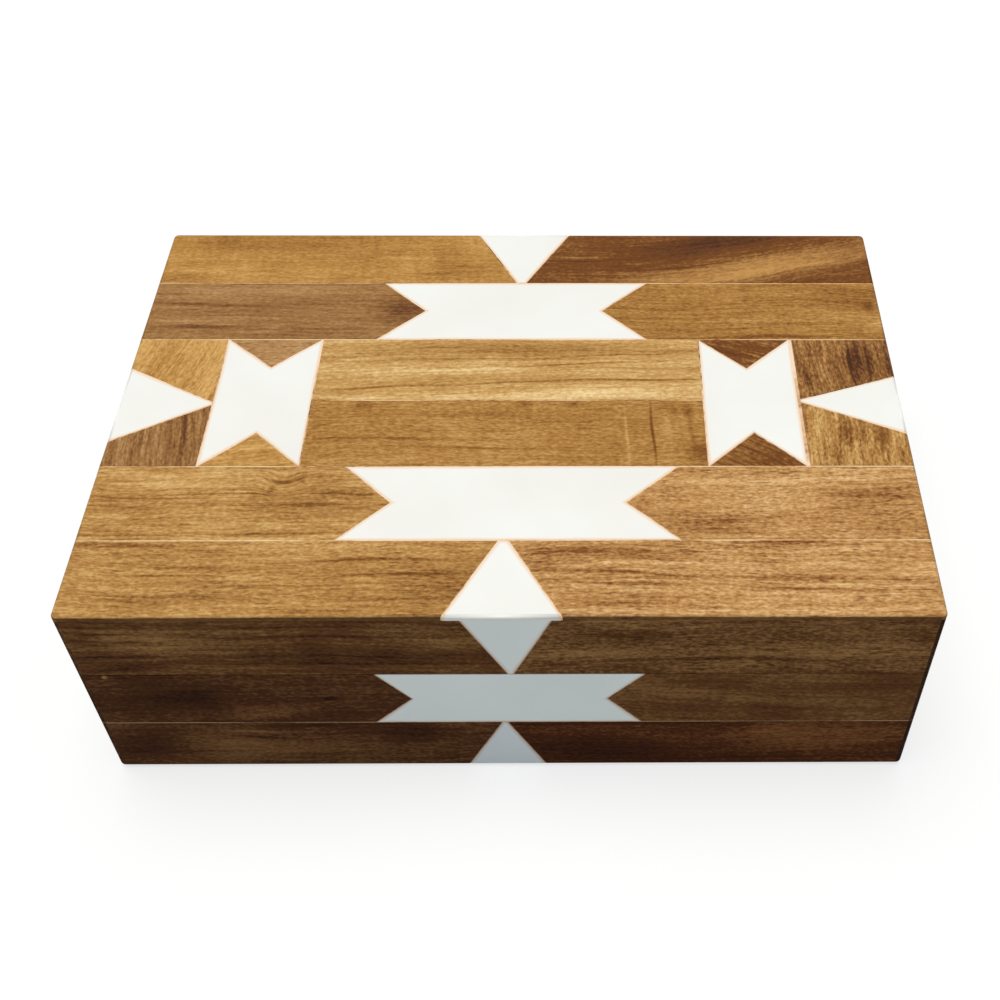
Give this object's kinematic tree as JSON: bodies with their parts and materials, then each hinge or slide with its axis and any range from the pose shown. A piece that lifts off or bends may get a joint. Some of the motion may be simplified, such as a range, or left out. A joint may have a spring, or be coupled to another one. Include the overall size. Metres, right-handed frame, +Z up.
{
  "type": "keepsake box",
  "caption": "Low rectangular box with a shallow hinged lid, veneered in brown wood strips with white triangle and swallow-tail inlay, felt-lined inside.",
  "frame": {"origin": "middle of the underside, on the plane that the box stands on", "axes": "+X to the right along the long side, +Y to the back where the hinges are, +Z up through the lid"},
  "size_m": [0.254, 0.178, 0.0795],
  "materials": {
    "golden_wood": "satin lacquer over golden brown strips",
    "honey_wood": "satin lacquer over honey brown strips",
    "pale_wood": "satin lacquer over a pale striped strip",
    "brown_wood": "satin lacquer over greyish brown strips",
    "dark_wood": "satin lacquer over dark brown strips",
    "shaded_wood": "satin lacquer over brown strips of the front, sides and back",
    "carcass_wood": "sanded solid wood, thinly sealed",
    "white_resin": "polished cast resin, white",
    "brass": "satin brass",
    "black_felt": "pressed black felt"
  },
  "bodies": {
    "body": {"base_felt": "black_felt", "base_board": "carcass_wood", "body_front_wall": "carcass_wood", "body_back_wall": "carcass_wood", "body_left_wall": "carcass_wood", "body_right_wall": "carcass_wood", "floor_lining": "black_felt", "body_front_upper_left_strip": "shaded_wood", "body_front_banner": "white_resin", "body_front_upper_right_strip": "shaded_wood", "body_front_lower_left_strip": "shaded_wood", "body_front_triangle": "white_resin", "body_front_lower_right_strip": "shaded_wood", "body_back_sheet": "shaded_wood", "body_left_sheet": "shaded_wood", "body_right_sheet": "shaded_wood", "left_hinge_body_leaf": "brass", "left_hinge_pin": "brass", "right_hinge_body_leaf": "brass", "right_hinge_pin": "brass"},
    "lid": {"lid_top_board": "carcass_wood", "lid_front_rail": "carcass_wood", "lid_back_rail": "carcass_wood", "lid_left_rail": "carcass_wood", "lid_right_rail": "carcass_wood", "lid_lining": "black_felt", "top_back_left_strip": "golden_wood", "top_back_triangle": "white_resin", "top_back_right_strip": "dark_wood", "top_inner_back_left_strip": "brown_wood", "top_back_banner": "white_resin", "top_inner_back_right_strip": "honey_wood", "top_inner_front_left_strip": "honey_wood", "top_front_banner": "white_resin", "top_inner_front_right_strip": "honey_wood", "top_front_left_strip": "honey_wood", "top_front_triangle": "white_resin", "top_front_right_strip": "honey_wood", "top_left_front_block": "brown_wood", "top_left_triangle": "white_resin", "top_left_back_block": "golden_wood", "top_right_front_block": "golden_wood", "top_right_triangle": "white_resin", "top_right_back_block": "brown_wood", "top_left_front_filler": "golden_wood", "top_left_banner": "white_resin", "top_left_back_filler": "brown_wood", "top_right_front_filler": "dark_wood", "top_right_banner": "white_resin", "top_right_back_filler": "dark_wood", "top_centre_front_strip": "honey_wood", "top_centre_back_strip": "pale_wood", "lid_front_left_strip": "shaded_wood", "lid_front_triangle": "white_resin", "lid_front_right_strip": "shaded_wood", "lid_back_sheet": "shaded_wood", "lid_left_sheet": "shaded_wood", "lid_right_sheet": "shaded_wood", "left_hinge_lid_leaf": "brass", "right_hinge_lid_leaf": "brass"}
  },
  "joints": [
    {"name": "lid_hinge", "type": "hinge", "parent": "body", "child": "lid", "pos_m": [0, 0.0858, 0.0516], "axis": [-1, 0, 0], "range_deg": [0, 95]}
  ]
}
